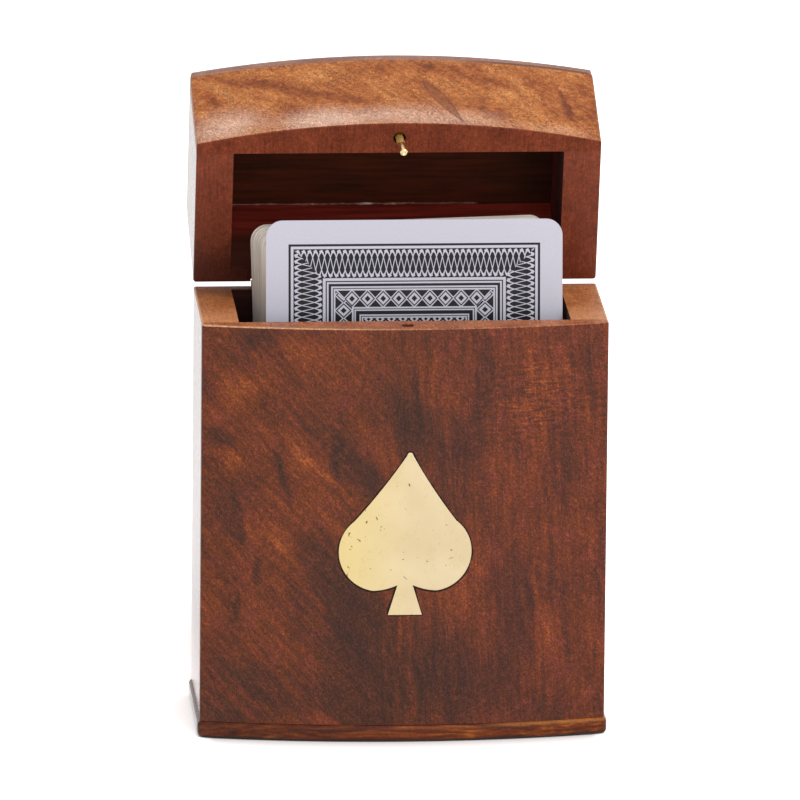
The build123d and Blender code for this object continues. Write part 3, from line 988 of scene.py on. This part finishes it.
def ring_faces(rings, sides, closed):
    """The faces of a tube: rings of points, one after another. A closed tube ends where it starts."""
    faces = []
    for ring in range(rings if closed else rings - 1):
        following = (ring + 1) % rings
        for side in range(sides):
            beside = (side + 1) % sides
            faces.append((
                ring * sides + side,
                ring * sides + beside,
                following * sides + beside,
                following * sides + side,
            ))
    return faces


def dark_filler():
    """The thin dark line of filler between the spade and the wood round it."""
    outline = divided(face_outline("spade_inlay"), longest=0.5)
    proud = 0.03
    deep = 0.15
    overlap = 0.02
    least_width = 0.1
    usual_width = 0.26
    uneven = 0.24
    places = []
    for index, place in enumerate(outline):
        ahead = outline[(index + 1) % len(outline)] - outline[index - 1]
        outward = Vector((ahead.z, 0, -ahead.x)).normalized()
        width = usual_width + uneven * noise.noise(place * 0.35)
        inner = place - outward * overlap
        outer = place + outward * max(least_width, width)
        places += [inner + Vector((0, y, 0)) for y in (deep, -proud)]
        places += [outer + Vector((0, y, 0)) for y in (-proud * 0.5, deep)]
    faces = ring_faces(len(outline), sides=4, closed=True)
    new_piece("spade_filler", places, faces, filler_paint(), "box")


def glue_bead():
    """The uneven bead of glue where the lid's ceiling meets its back board."""
    first_x = -inside_x + 0.2
    last_x = 18.0
    pitch = 0.4
    sides = 8
    usual_radius = 0.30
    uneven = 0.16
    tip = 0.3
    taper = 0.2
    corner_y = lid_back_face - 0.08
    corner_z = lid_ceiling - 0.08
    count = int((last_x - first_x) / pitch)
    opening = Matrix.Rotation(-open_angle, 3, "X")
    places = []
    for index in range(count + 1):
        x = first_x + pitch * index
        radius = usual_radius + uneven * noise.noise(Vector((x * 0.9, 2.0, 0.0)))
        radius *= min(1.0, tip + index * taper, tip + (count - index) * taper)
        for side in range(sides):
            turn = 2 * math.pi * side / sides
            y = corner_y + radius * math.cos(turn)
            z = corner_z + radius * math.sin(turn)
            places.append(hinge + opening @ (Vector((x, y, z)) - hinge))
    faces = ring_faces(count + 1, sides, closed=False)
    faces.append(tuple(range(sides)))
    faces.append(tuple(range(count * sides, (count + 1) * sides)))
    new_piece("glue_bead", places, faces, glue_paint(), "lid")


def filler_paint():
    """Near-black filler with a little grain."""
    paint = Paint("filler")
    grain = paint.noise(paint.place(), 0.4, detail=3.0, roughness=0.7)
    colour = paint.ramp(grain, [(0.35, linear(22, 12, 8)), (0.65, linear(50, 28, 18))])
    paint.set("Base Color", colour)
    paint.set("Specular IOR Level", 0.15)
    paint.set("Roughness", grain * 0.2 + 0.5)
    paint.bump(grain, distance=0.02, strength=0.5)
    return paint.material


def glue_paint():
    """Dried glue, stained dark red, with pale rubbed patches."""
    paint = Paint("glue")
    x, y, z = paint.parts_of(paint.place())
    patch = paint.noise(paint.vector(x / 2.6, y, z), detail=3.0, roughness=0.6)
    colour = paint.ramp(patch, [
        (0.48, linear(104, 36, 26)),
        (0.60, linear(160, 96, 82)),
        (0.74, linear(240, 222, 208)),
    ])
    paint.set("Base Color", colour)
    paint.set("Roughness", patch * 0.2 + 0.25)
    paint.bump(patch, distance=0.02, strength=0.4)
    return paint.material


# Floor, light and camera

def floor():
    """A white floor. Seen by the camera, it is lifted to white, most where the box keeps light off."""
    size = 6.0
    mesh = bpy.data.meshes.new("floor")
    corners = [(x * size, y * size, 0) for x, y in ((-1, -1), (1, -1), (1, 1), (-1, 1))]
    mesh.from_pydata(corners, [], [(0, 1, 2, 3)])
    plane = bpy.data.objects.new("floor", mesh)
    bpy.context.scene.collection.objects.link(plane)
    paint = Paint("floor", "ShaderNodeBsdfDiffuse")
    x = paint.parts_of(paint.place())[0]
    left_edge = -half_width
    beside = x.abs().step(half_width - 3.0, half_width + 1.0)
    left = x.step(left_edge + 2.0, left_edge - 1.0)
    shade_reach = 9.0
    shade = paint.tree.nodes.new("ShaderNodeAmbientOcclusion")
    shade.samples = 8
    shade.inputs["Distance"].default_value = shade_reach * MM
    hidden = 1.0 - Field(paint.tree, shade.outputs["AO"])
    contact = 1.0 - hidden * (1.0 - beside * 0.85)
    plain = 0.8
    seen = contact * (beside * 0.3 + left * 0.4 + 1.92)
    # The strip by the box's left, which its polished side mirrors, is brighter than the rest
    strip = x.step(left_edge - 6.0, left_edge - 1.0) * x.step(left_edge + 1.0, left_edge)
    bright = strip * 1.4 + 1.38
    camera, mirrored = seen_rays(paint.tree)
    level = camera * (seen - plain) + mirrored * (bright - plain) + plain
    paint.set("Color", paint.vector(level, level, level))
    mesh.materials.append(paint.material)


def seen_rays(tree):
    """Two fields: 1 for rays from the camera, and 1 for those from a mirror or clear glass."""
    path = tree.nodes.new("ShaderNodeLightPath")
    camera = Field(tree, path.outputs["Is Camera Ray"])
    glossy = Field(tree, path.outputs["Is Glossy Ray"])
    clear = Field(tree, path.outputs["Is Transmission Ray"])
    return camera, glossy.greater(clear)


def world():
    """Even light from all round, and plain white where it is seen."""
    backdrop = bpy.data.worlds.new("backdrop")
    backdrop.use_nodes = True
    bpy.context.scene.world = backdrop
    tree = backdrop.node_tree
    tree.nodes.clear()
    light = tree.nodes.new("ShaderNodeBackground")
    output = tree.nodes.new("ShaderNodeOutputWorld")
    tree.links.new(light.outputs[0], output.inputs["Surface"])
    fill = 0.58
    camera, mirrored = seen_rays(tree)
    strength = camera.greater(mirrored) * (1.0 - fill) + fill
    light.inputs["Color"].default_value = (1, 1, 1, 1)
    plug(tree, strength, light.inputs["Strength"])


def lamp(name, place, size, power):
    """A square soft light that points at the middle of the box."""
    target = Vector((0, 0, 0.06))
    light = bpy.data.lights.new(name, "AREA")
    light.shape = "SQUARE"
    light.size = size
    light.energy = power
    holder = bpy.data.objects.new(name, light)
    holder.location = place
    holder.rotation_euler = (target - Vector(place)).to_track_quat("-Z", "Y").to_euler()
    bpy.context.scene.collection.objects.link(holder)


def camera():
    """The photograph's camera: far off, a little to the left and above."""
    azimuth = math.radians(-4.04)
    elevation = math.radians(14.36)
    roll = math.radians(0.52)
    distance = 2.825
    focal_pixels = 14684.0
    frame_pixels = 800.0
    target = Vector((-0.00004, 0.0, 0.06322))
    sensor = 36.0
    away = Vector((
        math.sin(azimuth) * math.cos(elevation),
        -math.cos(azimuth) * math.cos(elevation),
        math.sin(elevation),
    ))
    lens = bpy.data.cameras.new("camera")
    lens.sensor_width = sensor
    lens.lens = focal_pixels / frame_pixels * sensor
    lens.clip_end = 50.0
    view = bpy.data.objects.new("camera", lens)
    turn = (-away).to_track_quat("-Z", "Y").to_matrix() @ Matrix.Rotation(roll, 3, "Z")
    view.matrix_world = Matrix.Translation(target + away * distance) @ turn.to_4x4()
    bpy.context.scene.collection.objects.link(view)
    bpy.context.scene.camera = view


body_sides = side_wood("body_side_wood", lid=False)
lid_sides = side_wood("lid_side_wood", lid=True)
hinge_brass = tarnished_shaded_brass()
material_of = {
    "front_panel": front_wood(),
    "back_panel": body_sides,
    "left_side": body_sides,
    "right_side": body_sides,
    "floor_board": body_sides,
    "base_plate": base_wood(),
    "spade_inlay": spade_brass(),
    "lid_front": lid_wood(),
    "lid_top": lid_top_wood(),
    "lid_back": lid_sides,
    "lid_left": lid_sides,
    "lid_right": lid_sides,
    "locating_pin": pin_brass(),
    "front_card": card_back(),
    "card_deck": card_edges(),
}
for node in nodes:
    dress(node, hinge_brass if "hinge" in node else material_of[node])

dark_filler()
glue_bead()

floor()
world()
lamp("key", place=(0.9, -1.1, 1.6), size=1.2, power=16.0)
lamp("front", place=(0.15, -2.0, 0.55), size=1.0, power=8.0)
camera()
bpy.context.scene.view_settings.view_transform = "Standard"
